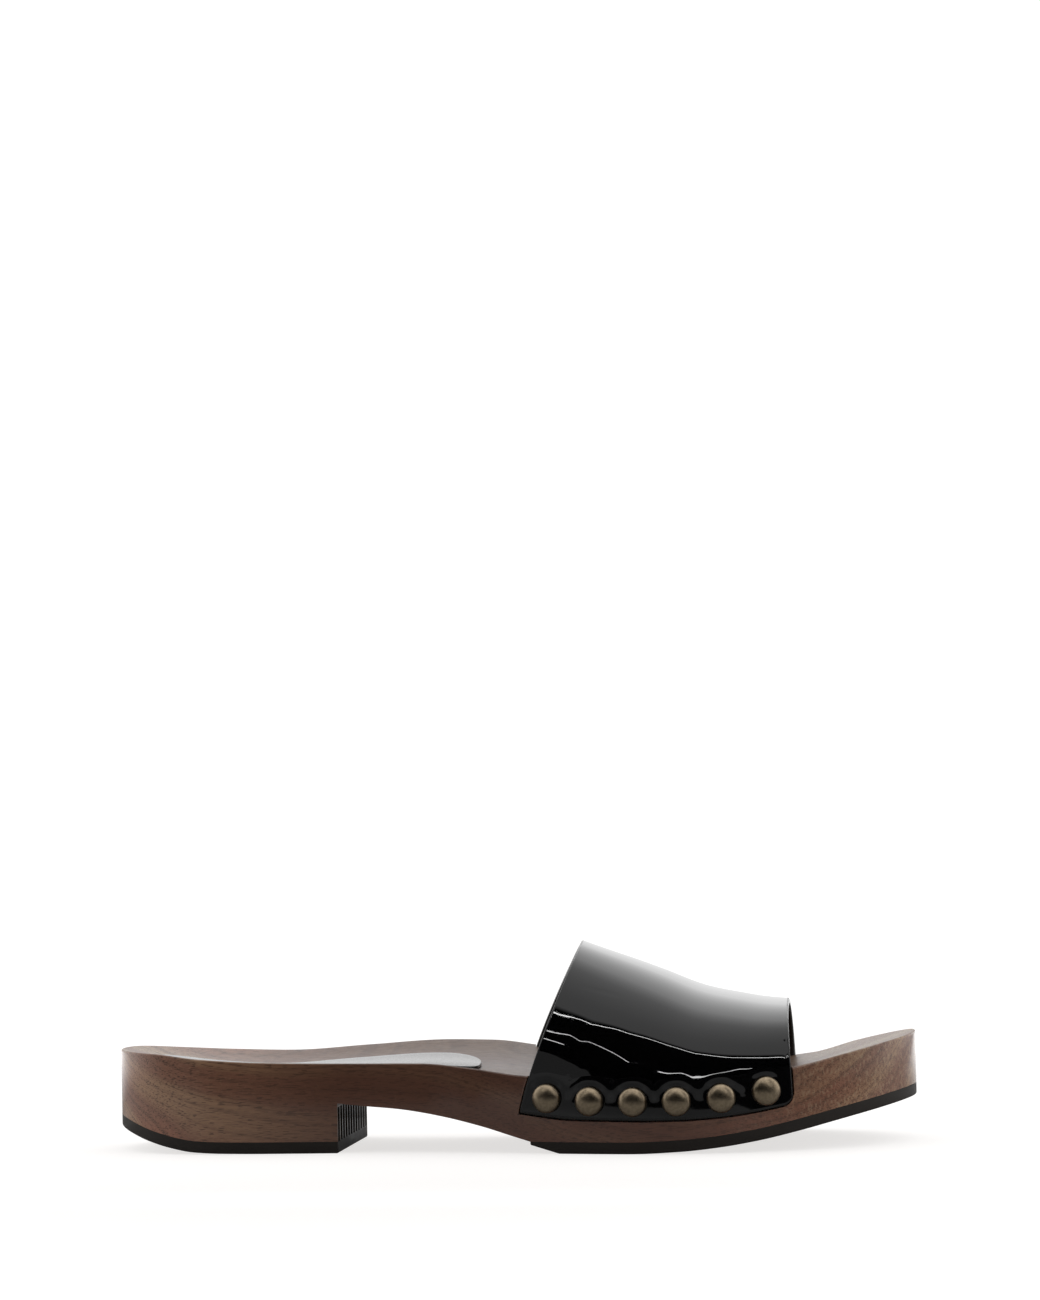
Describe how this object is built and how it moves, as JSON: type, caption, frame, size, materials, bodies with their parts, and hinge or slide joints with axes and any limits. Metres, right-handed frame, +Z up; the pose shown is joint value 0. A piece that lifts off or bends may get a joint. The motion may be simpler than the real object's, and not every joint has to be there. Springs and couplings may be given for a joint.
{
  "type": "wooden clog slide",
  "caption": "Open-toe clog slide: a carved wooden sole with a dished footbed and low heel, rubber treads and one broad glossy leather strap nailed to both sides.",
  "frame": {"origin": "centre of the bounding box at the floor, under the middle of the sole", "axes": "+X from heel to toe, +Y towards the inner (medial) side, +Z up"},
  "size_m": [0.25, 0.0924, 0.0632],
  "materials": {
    "wood": "satin lacquer over a walnut stain",
    "rubber": "matt moulded",
    "patent_leather": "black patent, high gloss",
    "sock_leather": "smooth and glossy",
    "stud_brass": "antique, softly polished"
  },
  "bodies": {
    "root": {"wooden_sole": "wood", "heel_top_piece": "rubber", "forefoot_outsole": "rubber", "upper_strap": "patent_leather", "heel_sock": "sock_leather", "stud_lateral_1": "stud_brass", "stud_lateral_2": "stud_brass", "stud_lateral_3": "stud_brass", "stud_lateral_4": "stud_brass", "stud_lateral_5": "stud_brass", "stud_lateral_6": "stud_brass", "stud_medial_1": "stud_brass", "stud_medial_2": "stud_brass", "stud_medial_3": "stud_brass", "stud_medial_4": "stud_brass", "stud_medial_5": "stud_brass", "stud_medial_6": "stud_brass"}
  },
  "joints": []
}
